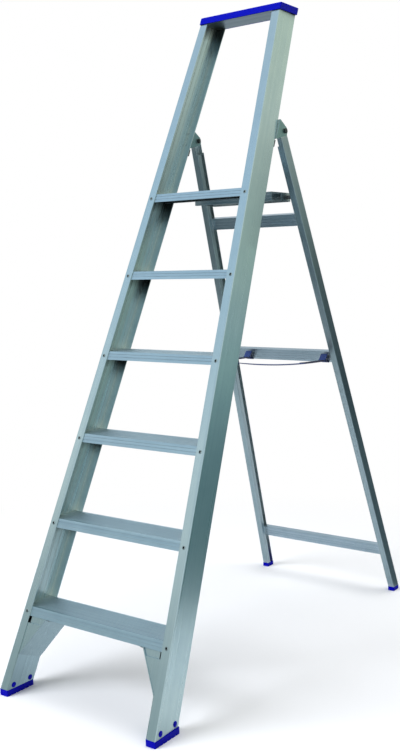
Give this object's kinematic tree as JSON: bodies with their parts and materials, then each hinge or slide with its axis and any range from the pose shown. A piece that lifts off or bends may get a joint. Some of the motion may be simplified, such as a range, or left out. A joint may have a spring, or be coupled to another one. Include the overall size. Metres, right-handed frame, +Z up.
{
  "type": "platform stepladder",
  "caption": "Free-standing folding stepladder: tapered channel stiles with ribbed treads, a hand hoop with a blue cap, a hinged rear frame and webbing stay straps.",
  "frame": {"origin": "middle of the footprint, on the floor", "axes": "+Z up, treads face -Y, +X to the right of someone who looks at the treads"},
  "size_m": [0.5648, 1.415, 1.98],
  "materials": {
    "front_aluminium": "satin mill",
    "rear_aluminium": "satin mill",
    "cap_plastic": "moulded",
    "foot_plastic": "moulded",
    "strap_webbing": "woven",
    "rivet_steel": "plain",
    "zinc_steel": "plated",
    "black_rubber": "moulded",
    "nylon": "moulded"
  },
  "bodies": {
    "front_frame": {"foot_brace_rivets": "rivet_steel", "hinge_bracket_rivets": "rivet_steel", "hinge_nuts": "zinc_steel", "hinge_pads": "black_rubber", "hinge_washers": "nylon", "left_foot": "foot_plastic", "left_foot_brace": "front_aluminium", "left_foot_pins": "foot_plastic", "left_hinge_bolt": "zinc_steel", "left_hinge_bracket": "front_aluminium", "left_step_rear_rivets": "rivet_steel", "left_step_rivets": "rivet_steel", "left_stile": "front_aluminium", "left_strap": "strap_webbing", "right_foot": "foot_plastic", "right_foot_brace": "front_aluminium", "right_foot_pins": "foot_plastic", "right_hinge_bolt": "zinc_steel", "right_hinge_bracket": "front_aluminium", "right_step_rear_rivets": "rivet_steel", "right_step_rivets": "rivet_steel", "right_stile": "front_aluminium", "right_strap": "strap_webbing", "step_1": "front_aluminium", "step_2": "front_aluminium", "step_3": "front_aluminium", "step_4": "front_aluminium", "step_5": "front_aluminium", "step_6": "front_aluminium", "strap_anchors": "zinc_steel", "strap_rivets": "rivet_steel", "top_cap": "cap_plastic", "top_rail": "front_aluminium"},
    "rear_frame": {"left_hinge_bush": "nylon", "left_rear_foot": "foot_plastic", "left_rear_leg": "rear_aluminium", "left_slat_plate": "rear_aluminium", "lower_rear_bar": "rear_aluminium", "middle_rear_bar": "rear_aluminium", "platform_slat": "rear_aluminium", "rear_bar_rivets": "rivet_steel", "right_hinge_bush": "nylon", "right_rear_foot": "foot_plastic", "right_rear_leg": "rear_aluminium", "right_slat_plate": "rear_aluminium", "slat_bolts": "zinc_steel", "slat_nuts": "zinc_steel", "slat_spacers": "nylon", "upper_rear_bar": "rear_aluminium"}
  },
  "joints": [
    {"name": "rear_fold", "type": "hinge", "parent": "front_frame", "child": "rear_frame", "pos_m": [0, 0.12516, 1.589], "axis": [-1, 0, 0], "range_deg": [0, 43.5], "deforming": ["left_strap", "right_strap"]}
  ]
}
